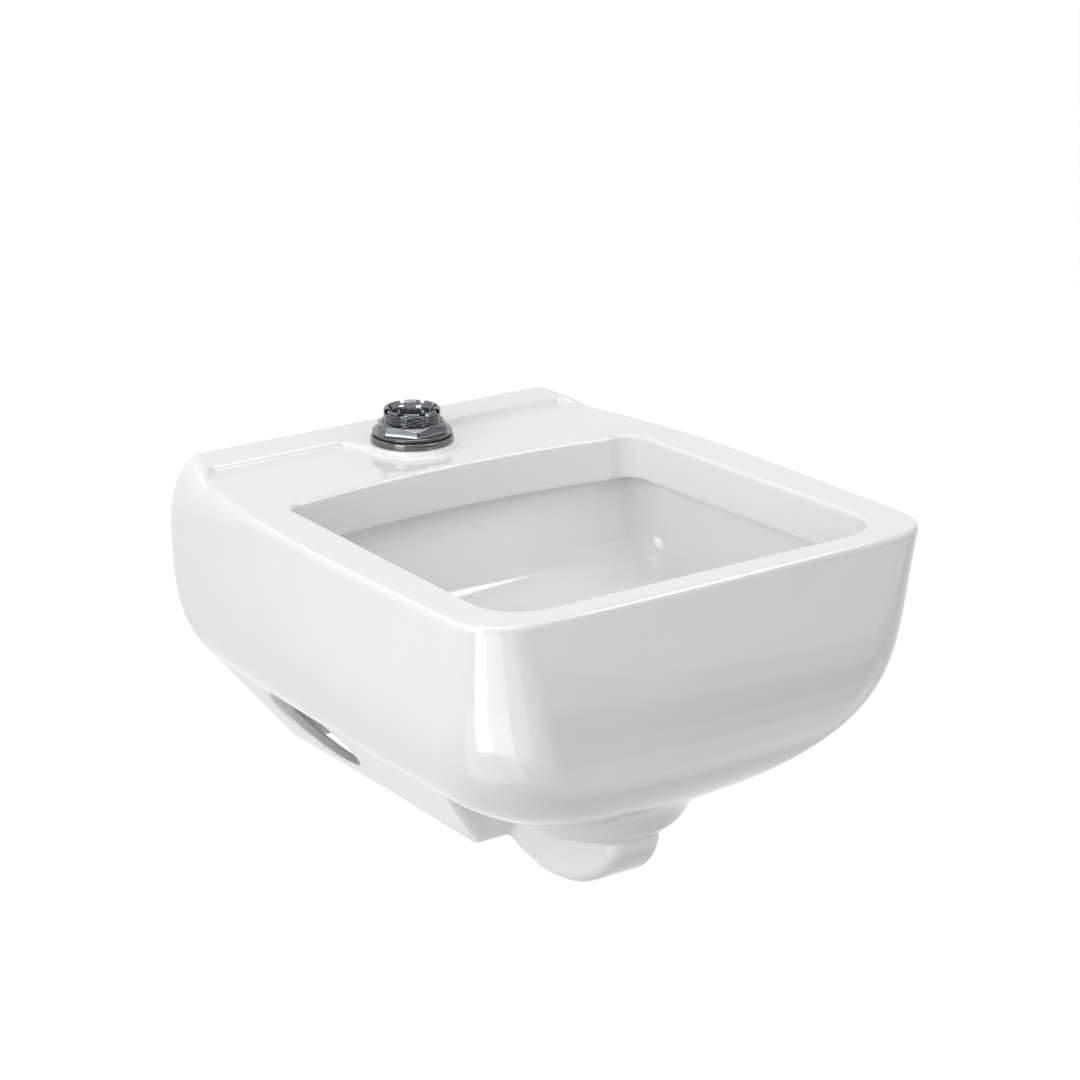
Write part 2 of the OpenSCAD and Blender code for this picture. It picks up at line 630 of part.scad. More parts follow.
module trap_bend() {
    color(china) difference() {
        keel(0);
        keel_heel();
        riser_outside(lute);
        waterway_front();
    }
}
// Cut that rounds the bottom of the keel up towards its back
module keel_heel() {
    across(2 * keel_w) polygon(concat(
        [for (a = [0 : 7.5 : 52.5]) [rise_y + keel_r * sin(a), z_at(bend_t + keel_r * cos(a))]],
        [[rise_y + keel_r, z_at(keel_end_t + over)], [rise_y, z_at(keel_end_t + over)]]));
}
module trap_riser() {
    color(china) difference() {
        riser_outside(0);
        waterway_rear();
    }
}
module jet_channel() {
    r = jet_r + jet_wall;
    color(china) translate([jet_x, 0, 0]) difference() {
        jet_run(r, 0);
        jet_run(jet_r, over);
    }
}
// Down the back of the bowl and forward under it
module jet_run(r, extra) {
    leg([jet_y, z_at(rim_h) + extra], [jet_y, z_at(jet_t - jet_bend_r)], r, r);
    bend(jet_y - jet_bend_r, z_at(jet_t - jet_bend_r), jet_bend_r, 270, 90, r);
    leg([jet_y - jet_bend_r, z_at(jet_t)], [jet_end_y - extra, z_at(jet_t)], r, r);
}

module spud_tube() {
    foot_z = deck_under - gasket_h - flange_h;
    color(chrome) translate([0, -spud_y, 0]) difference() {
        union() {
            translate([0, 0, foot_z]) cylinder(h = flange_h, r = flange_r);
            translate([0, 0, foot_z]) cylinder(h = boss_top + tube_h - foot_z, r = tube_r);
        }
        translate([0, 0, foot_z - over]) cylinder(h = boss_top + tube_h - foot_z + 2 * over, r = tube_bore_r);
        for (i = [0 : notch_count - 1]) rotate([0, 0, notch_a + 360 / notch_count * i])
            translate([-notch_w / 2, -tube_r - over, boss_top + tube_h - notch_d])
                cube([notch_w, tube_r, notch_d + over]);
    }
}
module spud_gasket() {
    z0 = deck_under - gasket_h;
    color("dimgray") translate([0, -spud_y, z0]) rotate_extrude() polygon([
        [tube_r, 0], [gasket_r - 1.5, 0], [gasket_r, 1.5], [gasket_r, gasket_h],
        [spud_hole_r - 0.1, gasket_h], [spud_hole_r - 1.5, gasket_h + deck_wall - 2],
        [tube_r, gasket_h + deck_wall - 2]]);
}
module chrome_ring() {
    edge = 0.8;
    color(chrome) translate([0, -spud_y, boss_top]) rotate_extrude() polygon([
        [tube_r + ring_gap, 0], [ring_r - edge, 0], [ring_r, edge], [ring_r, ring_h - edge],
        [ring_r - edge, ring_h], [tube_r + ring_gap, ring_h]]);
}
module friction_ring() {
    color("black") translate([0, -spud_y, boss_top + ring_h]) difference() {
        cylinder(h = friction_h, r = nut_face_r - 1.2);
        translate([0, 0, -over]) cylinder(h = friction_h + 2 * over, r = tube_r + ring_gap);
    }
}
module spud_locknut() {
    corner = nut_flats / 2 / cos(30);
    hex_z = nut_face_h;
    top = nut_face_h + nut_hex_h;
    color(chrome) translate([0, -spud_y, stack_z]) rotate([0, 0, nut_a]) difference() {
        union() {
            cylinder(h = nut_face_h, r = nut_face_r);
            intersection() {
                translate([0, 0, hex_z]) rotate([0, 0, 30]) cylinder(h = nut_hex_h, r = corner, $fn = 6);
                // The lathe leaves a cone of about thirty degrees on the top corners
                rotate_extrude() polygon([[0, 0], [corner + 1, 0],
                    [corner + 1, top - (corner + 1 - nut_flats / 2) * tan(30)],
                    [nut_flats / 2 - 1, top], [0, top]]);
            }
        }
        translate([0, 0, -over]) cylinder(h = top + 2 * over, r = tube_r + thread_gap);
    }
}

bowl_body();
flushing_rim();
trap_bend();
trap_riser();
jet_channel();
spud_tube();
spud_gasket();
chrome_ring();
friction_ring();
spud_locknut();
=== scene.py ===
import math

import bpy
import numpy as np
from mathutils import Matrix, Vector


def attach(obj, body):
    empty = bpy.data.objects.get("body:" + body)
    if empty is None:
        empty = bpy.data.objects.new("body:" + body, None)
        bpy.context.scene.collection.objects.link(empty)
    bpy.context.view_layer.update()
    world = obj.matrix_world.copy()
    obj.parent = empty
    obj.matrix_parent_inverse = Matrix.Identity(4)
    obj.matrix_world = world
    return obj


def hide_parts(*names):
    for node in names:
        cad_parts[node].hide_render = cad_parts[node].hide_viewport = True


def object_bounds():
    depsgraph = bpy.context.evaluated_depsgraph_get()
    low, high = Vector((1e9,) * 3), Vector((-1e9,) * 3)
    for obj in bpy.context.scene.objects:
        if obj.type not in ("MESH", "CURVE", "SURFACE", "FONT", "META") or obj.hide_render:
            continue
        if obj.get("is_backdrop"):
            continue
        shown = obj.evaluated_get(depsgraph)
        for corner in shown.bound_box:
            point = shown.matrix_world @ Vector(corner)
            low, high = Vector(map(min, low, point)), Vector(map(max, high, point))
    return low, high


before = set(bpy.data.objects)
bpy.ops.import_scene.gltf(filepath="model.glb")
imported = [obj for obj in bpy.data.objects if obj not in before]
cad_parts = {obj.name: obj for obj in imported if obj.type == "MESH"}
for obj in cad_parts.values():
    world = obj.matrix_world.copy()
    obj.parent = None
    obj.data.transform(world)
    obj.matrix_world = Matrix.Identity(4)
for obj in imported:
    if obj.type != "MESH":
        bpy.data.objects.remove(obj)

solid_low, solid_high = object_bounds()

# ---- China ----
# The castings of the sink: rim, bowl with its skirt, and trapway, slip cast in vitreous china.
# They are luted together while still damp, glazed and fired as one, so no joint shows
# and every edge is round where the glaze has pulled over it.

# Lengths are in mm: x to the right, y towards the wall, which stands at 0, t down from the rim
RIM_Z = 232.0                          # height of the rim above the centre of the outlet
HALF_W, DEPTH = 231.5, 508.0
DRAW_IN, DRAW_IN_L = 19.5, 330.2       # the sides draw in by this much over this length
# The hull curves in as it goes down: depth and squareness of that curve, and how much the flat
# underside takes off it. Its front corners are widest at CORNER_T.
HULL_T, HULL_POWER, HULL_CUT = 257.0, 4.6, 10.0
CORNER_R, CORNER_GAIN, CORNER_T, CORNER_LEAST = 46.0, 30.0, 145.0, 6.0
FRONT_BOW, FRONT_TUCK = 3.0, 151.0     # bow of the front seen from above, and its run in below
FRONT_EASE, FRONT_EASE_L = 0.16, 15.0
HULL_WALL, BOWL_WALL = 12.0, 10.0
TINY, FAR = 1e-6, 1e3


def joined(a, b, r):
    """Two bodies as one, with a fillet of radius r where they meet."""
    fillet = np.hypot(np.maximum(r - a, 0), np.maximum(r - b, 0))
    return np.maximum(r, np.minimum(a, b)) - fillet


def shared(a, b, r):
    """What two bodies share, with its edge rounded to radius r."""
    rounding = np.hypot(np.maximum(r + a, 0), np.maximum(r + b, 0))
    return np.minimum(-r, np.maximum(a, b)) + rounding


def corner(a, b, r):
    """Distance to two walls that meet in a corner of radius r, with a and b from its centre."""
    return np.hypot(np.maximum(a, 0), np.maximum(b, 0)) + np.minimum(np.maximum(a, b), 0) - r


def oval(u, v, a, b):
    """Distance to an oval with half axes a and b. The place is given in shares of them, u and v."""
    k = np.hypot(u, v)
    return (k - 1) * k / np.maximum(np.hypot(u / a, v / b), TINY)


def ramp(v):
    """Rises softly from 0 to 1 while v does."""
    v = np.clip(v, 0, 1)
    return v * v * (3 - 2 * v)


def side_half(y):
    """Half width of the hull at the rim."""
    return HALF_W - DRAW_IN * np.maximum(0, 1 + y / DRAW_IN_L) ** 2


def tub(ax, y, t, inset):
    """Distance to the outside of the hull, or to a copy of it set in by the wall."""
    gone = (np.maximum(t, 0) / (HULL_T - inset)) ** HULL_POWER
    half = (side_half(y) - inset) * (1 - gone)
    r = CORNER_R + CORNER_GAIN * (1 - (1 - t / CORNER_T) ** 2) - inset
    r = np.minimum(np.maximum(r, CORNER_LEAST), np.maximum(half - 1, 1))
    bow = FRONT_BOW * np.minimum(ax / np.maximum(half - r, 1), 1) ** 2
    front = -(DEPTH - inset) + bow + FRONT_TUCK * gone
    out_side, out_front = ax - (half - r), front + r - y
    # The front runs in less than the sides as it goes down, so its lean counts for less
    lean = HALF_W * HULL_POWER * gone / np.maximum(t, 1)
    lean *= 1 - FRONT_EASE + FRONT_EASE * np.tanh((out_side - out_front) / FRONT_EASE_L)
    return corner(out_side, out_front, r) / np.sqrt(1 + lean ** 2)


# Deck: the low ledge along the wall, and the round boss that the spud's rings rest on
LEDGE_Y, LEDGE_H, LEDGE_TILT = -28.0, 5.5, 4.5
LEDGE_STEP, LEDGE_END, LEDGE_FADE = 2.8, 182.0, 25.0
SPUD_Y = -63.0
BOSS_R, BOSS_H, BOSS_SLOPE = 41.5, 5.5, 1.5
BOSS_FOOT_R, BOSS_FOOT_H, BOSS_FOOT_SLOPE = 46.5, 2.0, 4.4
FLAT_HALF, FLAT_SPREAD, FLAT_SPREAD_L = 40.0, 12.0, 33.0
FLAT_OVER, FLAT_SLOPE, FLAT_START = 0.9, 1.9, 3.0


def deck_rise(ax, y):
    """Height of the ledge, the boss and the flat between them above the deck."""
    soft = LEDGE_STEP + LEDGE_FADE * ramp((ax - LEDGE_END) / LEDGE_FADE)
    tilt = LEDGE_TILT * np.clip((y - LEDGE_Y) / -LEDGE_Y, 0, 1)
    ledge = ramp((y - LEDGE_Y + soft) / soft) * (LEDGE_H + tilt)
    r = np.hypot(ax, y - SPUD_Y)
    boss = BOSS_FOOT_H * ramp((BOSS_FOOT_R - r) / BOSS_FOOT_SLOPE)
    boss = boss + (BOSS_H - BOSS_FOOT_H) * ramp((BOSS_R - r) / BOSS_SLOPE)
    wide = FLAT_HALF + FLAT_SPREAD * np.clip((y - SPUD_Y) / FLAT_SPREAD_L, 0, 1)
    flat = ramp((wide + FLAT_OVER - ax) / FLAT_SLOPE) * ramp((y - SPUD_Y) / FLAT_START)
    return np.maximum(np.maximum(ledge, BOSS_H * flat), boss)


# Outer edge of the rim, which grows to a wide round shoulder at the wall
RIM_EDGE_W, RIM_EDGE_T = 5.0, 7.0
SHOULDER_W, SHOULDER_T, SHOULDER_L = 27.0, 43.0, 220.0
HULL_EDGE = 5.0


def hull_and_deck(ax, y, t, hull):
    """The tub with its deck on top, its shoulders and its flat underside."""
    rise = deck_rise(ax, y)
    grown = np.maximum(0, 1 + y / SHOULDER_L) ** 2
    ex, et = RIM_EDGE_W + SHOULDER_W * grown, RIM_EDGE_T + SHOULDER_T * grown + rise
    u, v = np.maximum(1 + hull / ex, 0), np.maximum(1 - (t + rise) / et, 0)
    body = np.where((u > 0) & (v > 0), oval(u, v, ex, et), np.maximum(hull, -rise - t))
    return shared(body, t - (HULL_T - HULL_CUT), HULL_EDGE)


# Skirt: its sides slant in to the knee, its lower edge rises to the wall and its end is raked.
# SLANT and RAKE are mm of run per mm of height. SLANT_LENGTH is the length of that slope, and
# the values named SHARE turn a run into a distance where a wall leans.
SKIRT_TOP, SKIRT_LOW, SKIRT_L, SKIRT_HALF = 169.5, 285.0, 286.0, 86.8
SLANT, SLANT_LENGTH, KNEE_T = 0.851, 1.313, 280.0
RAKE, RAKE_SHARE, SKIRT_LIFT = 0.588, 0.862, 8.0
SKIRT_EDGE, SKIRT_END_EDGE, SKIRT_FILLET, WALL_EDGE = 4.0, 7.0, 1.5, 2.0
# Pad: the round swelling of the hull over the trap
PAD_Y, PAD_BACK, PAD_TOP, PAD_LOW = -343.0, -280.0, 215.0, 260.0
PAD_R, PAD_GAIN, PAD_GAIN_FROM, PAD_GAIN_H = 65.0, 23.0, 262.0, 40.0
PAD_SHARE, PAD_EDGE, PAD_FILLET = 0.93, 14.0, 6.0
# Bend under the sump, and the keel, which is its outside. It narrows forwards and downwards.
BEND_Y, RISE_Y, BEND_T, BEND_R = -338.0, -318.0, 247.0, 30.0
KEEL_R, KEEL_HALF, KEEL_FLARE, KEEL_L = 64.0, 29.0, 29.0, 99.7
KEEL_BACK, KEEL_TOP, KEEL_LEAN, KEEL_LEAN_T, KEEL_LEAN_H = -330.0, 240.0, 0.38, 262.0, 38.0
KEEL_SHARE, KEEL_EDGE, KEEL_FILLET = 0.96, 10.0, 4.0


def outside(ax, y, t, hull):
    """The outer form: hull and deck with the skirt, the pad and the keel, cut off at the wall."""
    body = hull_and_deck(ax, y, t, hull)
    flank = ax - np.maximum(SKIRT_HALF, SKIRT_HALF + SLANT * (KNEE_T - t))
    skirt = flank / np.where(t < KNEE_T, SLANT_LENGTH, 1.0)
    skirt = shared(skirt, t - (SKIRT_LOW - SKIRT_LIFT * (1 + y / SKIRT_L)), SKIRT_EDGE)
    end = (-SKIRT_L - RAKE * (SKIRT_LOW - t) - y) * RAKE_SHARE
    skirt = np.maximum(shared(skirt, end, SKIRT_END_EDGE), SKIRT_TOP - t)
    body = joined(body, skirt, SKIRT_FILLET)

    pad_r = PAD_R + PAD_GAIN * np.clip((PAD_GAIN_FROM - t) / PAD_GAIN_H, -0.2, 1.2)
    pad = (np.hypot(ax, np.minimum(y - PAD_Y, 0)) - pad_r) * PAD_SHARE
    pad = np.maximum(shared(pad, t - PAD_LOW, PAD_EDGE), PAD_TOP - t)
    body = joined(body, np.maximum(pad, y - PAD_BACK), PAD_FILLET)

    flare = 1 - np.clip((-SKIRT_L - y) / KEEL_L, 0, 1.4)
    lean = 1 - KEEL_LEAN * np.clip((t - KEEL_LEAN_T) / KEEL_LEAN_H, 0, 1)
    wide = KEEL_HALF + KEEL_FLARE * flare * lean
    profile = np.hypot(y - np.clip(y, BEND_Y, KEEL_BACK), np.maximum(t - BEND_T, 0)) - KEEL_R
    keel = shared((ax - wide) * KEEL_SHARE, profile, KEEL_EDGE)
    keel = np.maximum(shared(keel, y + SKIRT_L - HULL_WALL, WALL_EDGE), KEEL_TOP - t)
    return shared(joined(body, keel, KEEL_FILLET), y, WALL_EDGE)


# Opening in the rim, with tight corners at the back and wide ones in front
MOUTH_MID, MOUTH_BACK, MOUTH_FRONT = -305.0, -130.0, -480.0
MOUTH_HALF, MOUTH_TAPER, MOUTH_TAPER_L = 188.0, 4.5, 130.0
MOUTH_BACK_R, MOUTH_FRONT_R = 18.0, 42.0
MOUTH_BOW, MOUTH_BOW_HALF = 14.0, 158.0


def mouth(ax, y):
    """Distance to the upright wall of the opening in the rim."""
    at_back = y > MOUTH_MID
    r = np.where(at_back, MOUTH_BACK_R, MOUTH_FRONT_R)
    side = MOUTH_HALF - MOUTH_TAPER * np.clip((y - MOUTH_MID) / MOUTH_TAPER_L, -1, 1)
    back = MOUTH_BACK - MOUTH_BOW * np.minimum(ax / MOUTH_BOW_HALF, 1) ** 2
    out_end = np.where(at_back, y - (back - r), MOUTH_FRONT + r - y)
    return corner(ax - (side - r), out_end, r)


# Trapway: from the sump round the bend, up a leg at 45 degrees, over the crest and down to the
# outlet. BEND_OFF and CREST_OFF are radii times the sine of 45 degrees, where the legs start.
SUMP_Y, SUMP_T = -368.0, 225.0
CREST_Y, CREST_T, CREST_R = -185.88, 221.0, 45.0
BEND_OFF, CREST_OFF = 21.21, 31.82
LEG_Y, LEG_T = RISE_Y + BEND_OFF, BEND_T + BEND_OFF
DROP_T = RIM_Z - CREST_R + CREST_OFF
DROP_Y = CREST_Y + CREST_OFF + DROP_T - (CREST_T - CREST_OFF)
OUT_Y, OUT_END_Y = DROP_Y + CREST_OFF, 10.0
WATER_R, TRAP_R, HORN_R, OUTLET_R = 25.0, 33.0, 48.1, 38.1


def bend_gap(y, t, cy, ct, r, first, last):
    """Distance in the middle plane to an arc. Angles run from the front over the bottom."""
    a = np.degrees(np.arctan2(ct - t, y - cy)) % 360
    return np.where((a >= first) & (a <= last), np.abs(np.hypot(y - cy, t - ct) - r), FAR)


def leg_gap(y, t, y1, t1, y2, t2):
    """Distance in the middle plane to a straight leg."""
    along = (y - y1) * (y2 - y1) + (t - t1) * (t2 - t1)
    k = np.clip(along / ((y2 - y1) ** 2 + (t2 - t1) ** 2), 0, 1)
    return np.hypot(y - y1 - k * (y2 - y1), t - t1 - k * (t2 - t1))


def waterway(x, y, t):
    """Distances to the middle line of the sump and bend, and of the riser up to the outlet."""
    low = leg_gap(y, t, SUMP_Y, SUMP_T, SUMP_Y, BEND_T)
    low = np.minimum(low, bend_gap(y, t, BEND_Y, BEND_T, BEND_R, 180, 270))
    low = np.minimum(low, leg_gap(y, t, BEND_Y, BEND_T + BEND_R, RISE_Y, BEND_T + BEND_R))
    low = np.minimum(low, bend_gap(y, t, RISE_Y, BEND_T, BEND_R, 270, 315))
    weir_y, over_y, weir_t = CREST_Y - CREST_OFF, CREST_Y + CREST_OFF, CREST_T - CREST_OFF
    high = leg_gap(y, t, LEG_Y, LEG_T, weir_y, weir_t)
    high = np.minimum(high, bend_gap(y, t, CREST_Y, CREST_T, CREST_R, 45, 135))
    high = np.minimum(high, leg_gap(y, t, over_y, weir_t, DROP_Y, DROP_T))
    high = np.minimum(high, bend_gap(y, t, OUT_Y, RIM_Z - CREST_R, CREST_R, 225, 270))
    high = np.minimum(high, leg_gap(y, t, OUT_Y, RIM_Z, OUT_END_Y, RIM_Z))
    return np.hypot(x, low), np.hypot(x, high)


# Bowl: it starts under the rim, leans at the back, and swells over the trapway behind it
UNDER_RIM, RIM_SKIRT_T, BOWL_T = 41.0, 52.0, 228.0
BACK_Y, BACK_LEAN, BACK_BOW, BACK_BOW_HALF, BACK_BOW_H = -104.0, 23.0, 14.0, 150.0, 60.0
FUNNEL_R, FUNNEL_T, FUNNEL_TOP, FUNNEL_LOW, FUNNEL_SHARE = 40.0, 221.0, 212.0, 242.0, 0.75
BOWL_ROUND, BOWL_TOP_EDGE, BOWL_FLOOR_EDGE = 26.0, 5.0, 14.0
RIM_SKIRT_FILLET, SUMP_FILLET, RIM_ROUND = 3.0, 8.0, 4.0


def behind_bowl(ax, y, t, wall):
    """Positive behind the back wall of the bowl and inside its hump over the trapway."""
    reach = CREST_R + TRAP_R + 0.3 + wall
    slope = BACK_LEAN / (CREST_T - reach - 2 * UNDER_RIM)
    below = t - UNDER_RIM
    bow = BACK_BOW * np.clip(1 - below / BACK_BOW_H, 0, 1)
    bow = bow * np.minimum(ax / BACK_BOW_HALF, 1) ** 2
    back = y - (BACK_Y - wall - bow - slope * np.maximum(below, 0))
    back = back / math.sqrt(1 + slope * slope * 0.8)
    dy, dt = y - CREST_Y, CREST_T - t
    arc = reach - np.hypot(dy, dt)
    leg = reach - (dt - dy) * math.sqrt(0.5)
    hump = np.where(-dy - dt > 0, leg, np.where(dy > 0, reach - dt, arc))
    return -joined(-back, -hump, BOWL_ROUND)


def bowl_room(x, y, t, tub_room, opening, low):
    """The room in the bowl, with the opening above it and the funnel into the sump."""
    room = shared(tub_room, behind_bowl(np.abs(x), y, t, BOWL_WALL), BOWL_ROUND)
    room = shared(shared(room, UNDER_RIM - t, BOWL_TOP_EDGE), t - BOWL_T, BOWL_FLOOR_EDGE)
    room = joined(np.maximum(opening, t - RIM_SKIRT_T), room, RIM_SKIRT_FILLET)
    funnel = np.hypot(x, y - SUMP_Y) - np.maximum(WATER_R, FUNNEL_R - (t - FUNNEL_T))
    funnel = np.maximum(np.maximum(funnel * FUNNEL_SHARE, FUNNEL_TOP - t), t - FUNNEL_LOW)
    return joined(room, np.minimum(funnel, low - WATER_R), SUMP_FILLET)


# Hollow rim and deck, with the hole for the spud and the wash holes in the floor of the rim
RIM_WALL, RIM_INNER_WALL, CHANNEL_TOP, CHANNEL_LOW, CHANNEL_EDGE = 10.0, 8.0, 11.0, 32.0, 4.0
SPUD_HOLE_R, SPUD_HOLE_T = 29.5, 14.0
WASH_R, WASH_TOP, WASH_LOW, WASH_LAST = 3.0, 28.0, 44.0, 5
WASH_SIDE_X, WASH_SIDE_Y, WASH_SIDE_STEP = 201.5, -184.0, 48.8
WASH_X, WASH_STEP, WASH_FRONT_Y, WASH_BACK_Y = -127.5, 51.0, -492.0, -118.0
WASH_BOW_HALF = 189.5


def rim_rooms(x, y, t, hull, opening):
    """The channel in the rim and deck, the hole for the spud and the wash holes."""
    room = shared(shared(hull + RIM_WALL, RIM_INNER_WALL - opening, CHANNEL_EDGE),
                  y + RIM_WALL, CHANNEL_EDGE)
    room = shared(room, np.maximum(CHANNEL_TOP - t, t - CHANNEL_LOW), CHANNEL_EDGE)
    spud_hole = np.maximum(np.hypot(x, y - SPUD_Y) - SPUD_HOLE_R, t - SPUD_HOLE_T)
    forward, across = WASH_SIDE_Y - y, x - WASH_X
    wy = forward - WASH_SIDE_STEP * np.clip(np.round(forward / WASH_SIDE_STEP), 0, WASH_LAST)
    wx = across - WASH_STEP * np.clip(np.round(across / WASH_STEP), 0, WASH_LAST)
    back_row = WASH_BACK_Y - MOUTH_BOW * (x / WASH_BOW_HALF) ** 2
    wash = np.minimum(np.hypot(wx, y - WASH_FRONT_Y), np.hypot(wx, y - back_row))
    wash = np.minimum(wash, np.hypot(np.abs(x) - WASH_SIDE_X, wy)) - WASH_R
    wash = np.maximum(wash, np.maximum(WASH_TOP - t, t - WASH_LOW))
    return np.minimum(np.minimum(room, spud_hole), wash)


# Room behind the bowl and in the skirt, open below, with a hand hole on each side
# and four holes for the studs of the carrier
CHAMBER_LOW, CHAMBER_FRONT, CHAMBER_EDGE, CHAMBER_FILLET, CHAMBER_LIP = 246.0, -274.0, 5.0, 6.0, 2.5
SKIRT_ROOM_HALF, SKIRT_ROOM_TOP = 72.3, 193.0
HAND_Y, HAND_T, HAND_HALF_L, HAND_HALF_H = -99.0, 228.0, 54.0, 36.0
HAND_FROM_X, HAND_EDGE = 20.0, 2.4
BOLT_X, BOLT_LOW_T, BOLT_HIGH_T, BOLT_R, BOLT_L, BOLT_EDGE = 114.3, 196.0, 94.4, 8.5, 16.0, 1.5


def back_room(ax, y, t, tub_room):
    """The room between the bowl and the wall, down into the skirt."""
    room = shared(tub_room, -behind_bowl(ax, y, t, 0), CHAMBER_EDGE)
    room = shared(room, np.maximum(UNDER_RIM - t, t - CHAMBER_LOW), CHAMBER_EDGE)
    inner = ax - np.maximum(SKIRT_ROOM_HALF, SKIRT_ROOM_HALF + SLANT * (KNEE_T - t))
    inner = np.maximum(inner / SLANT_LENGTH, SKIRT_ROOM_TOP - t)
    room = joined(room, inner, CHAMBER_FILLET)
    return shared(shared(room, y + HULL_WALL, CHAMBER_EDGE), CHAMBER_FRONT - y, CHAMBER_EDGE)


def hand_hole(ax, y, t):
    """The oval hole in each side of the skirt."""
    u, v = (y - HAND_Y) / HAND_HALF_L, (t - HAND_T) / HAND_HALF_H
    return np.maximum(oval(u, v, HAND_HALF_L, HAND_HALF_H), HAND_FROM_X - ax)


def bolt_holes(ax, y, t):
    """The four holes in the back for the studs of the carrier."""
    from_row = np.minimum(np.abs(t - BOLT_LOW_T), np.abs(t - BOLT_HIGH_T))
    return np.maximum(np.hypot(ax - BOLT_X, from_row) - BOLT_R, -BOLT_L - y)


# Outlet horn, and the jet channel from the deck down and forward to the sump
HORN_Y, HORN_L, HORN_CLEAR, HORN_EASE, TRAP_FILLET = -80.0, 30.0, 60.0, 4.0, 4.0
JET_X, JET_Y, JET_END_Y, JET_START_T, JET_T = 66.0, -75.0, -276.0, 38.0, 240.0
JET_R, JET_BORE_R, JET_TOP, JET_BORE_TOP, JET_BEND_R, JET_FILLET = 15.0, 9.0, 33.0, 30.0, 30.0, 3.0


def with_passages(out, x, y, t, low, high):
    """Adds the riser, the horn and the jet channel, and cuts their bores."""
    horn = np.clip((y - HORN_Y) / HORN_L, 0, 1)
    horn = horn * np.clip((HORN_CLEAR - np.abs(t - RIM_Z)) / HORN_EASE, 0, 1)
    tube = np.minimum(high, np.where(y > KEEL_BACK, low, FAR))
    out = joined(out, np.maximum(tube - TRAP_R - (HORN_R - TRAP_R) * horn, y), TRAP_FILLET)
    bend_y, bend_t = JET_Y - JET_BEND_R, JET_T - JET_BEND_R
    jet = leg_gap(y, t, JET_Y, JET_START_T, JET_Y, bend_t)
    jet = np.minimum(jet, leg_gap(y, t, bend_y, JET_T, JET_END_Y, JET_T))
    jet = np.minimum(jet, bend_gap(y, t, bend_y, bend_t, JET_BEND_R, 270, 360))
    jet = np.hypot(x - JET_X, jet)
    out = joined(out, np.maximum(jet - JET_R, JET_TOP - t), JET_FILLET)
    out = np.maximum(out, -np.maximum(jet - JET_BORE_R, JET_BORE_TOP - t))
    bore = np.minimum(low, high) - WATER_R - (OUTLET_R - WATER_R) * horn
    return np.maximum(out, -bore)


def china(x, y, t):
    """Distance to the glazed surface, negative in the china."""
    ax = np.abs(x)
    hull, tub_room, opening = tub(ax, y, t, 0), tub(ax, y, t, HULL_WALL), mouth(ax, y)
    low, high = waterway(x, y, t)
    out = shared(outside(ax, y, t, hull), -bowl_room(x, y, t, tub_room, opening, low), RIM_ROUND)
    out = np.maximum(out, -rim_rooms(x, y, t, hull, opening))
    out = shared(out, -back_room(ax, y, t, tub_room), CHAMBER_LIP)
    out = shared(out, -hand_hole(ax, y, t), HAND_EDGE)
    out = shared(out, -bolt_holes(ax, y, t), BOLT_EDGE)
    return with_passages(out, x, y, t, low, high)


def steps(*bands):
    """Grid lines: each band is (start, end, spacing)."""
    out = [np.linspace(a, b, max(1, round((b - a) / s)), endpoint=False) for a, b, s in bands]
    return np.append(np.concatenate(out), bands[-1][1])


# The glazed skin is found on a grid whose lines stand closest at the rim, the wall and the trap
fine = 1.5
mid = 2.8
close, closest = fine * 1.3, fine * 0.8
gx = steps((-234, -178, fine), (-178, -84, close), (-84, -56, mid), (-56, 56, fine),
           (56, 84, mid), (84, 178, close), (178, 234, fine))
gy = steps((-511, -472, fine), (-472, -152, mid), (-152, -124, fine), (-124, -112, mid),
           (-112, 3, fine))
gt = steps((-12, 10, closest), (10, 48, close), (48, 188, mid), (188, 268, close), (268, 314, mid))
grid = np.ones((len(gx), len(gy), len(gt)), np.float32)
BLOCK, NEAR_SHARE, NEAR_GAP = 8, 1.25, 7.0
starts = [np.arange(0, len(g), BLOCK) for g in (gx, gy, gt)]
bi, bj, bk = [m.ravel() for m in np.meshgrid(*starts, indexing="ij")]


def span(g, i):
    """Middle and half length of a block of grid lines."""
    a, b = g[i], g[np.minimum(i + BLOCK, len(g) - 1)]
    return (a + b) / 2, (b - a) / 2


# Blocks far from the skin keep the value at their middle, and only the others are worked out
(cx, rx), (cy, ry), (ct, rt) = span(gx, bi), span(gy, bj), span(gt, bk)
value = china(cx, cy, ct)
near = np.abs(value) < NEAR_SHARE * np.sqrt(rx ** 2 + ry ** 2 + rt ** 2) + NEAR_GAP
local = np.arange(BLOCK)
for i, j, k, v in zip(bi[~near], bj[~near], bk[~near], value[~near]):
    grid[i:i + BLOCK, j:j + BLOCK, k:k + BLOCK] = v
ni, nj, nk = bi[near], bj[near], bk[near]
BATCH = 400
for first in range(0, len(ni), BATCH):
    part = slice(first, first + BATCH)
    i = np.minimum(ni[part, None, None, None] + local[:, None, None], len(gx) - 1)
    j = np.minimum(nj[part, None, None, None] + local[None, :, None], len(gy) - 1)
    k = np.minimum(nk[part, None, None, None] + local[None, None, :], len(gt) - 1)
    i, j, k = np.broadcast_arrays(i, j, k)
    grid[i, j, k] = china(gx[i], gy[j], gt[k])


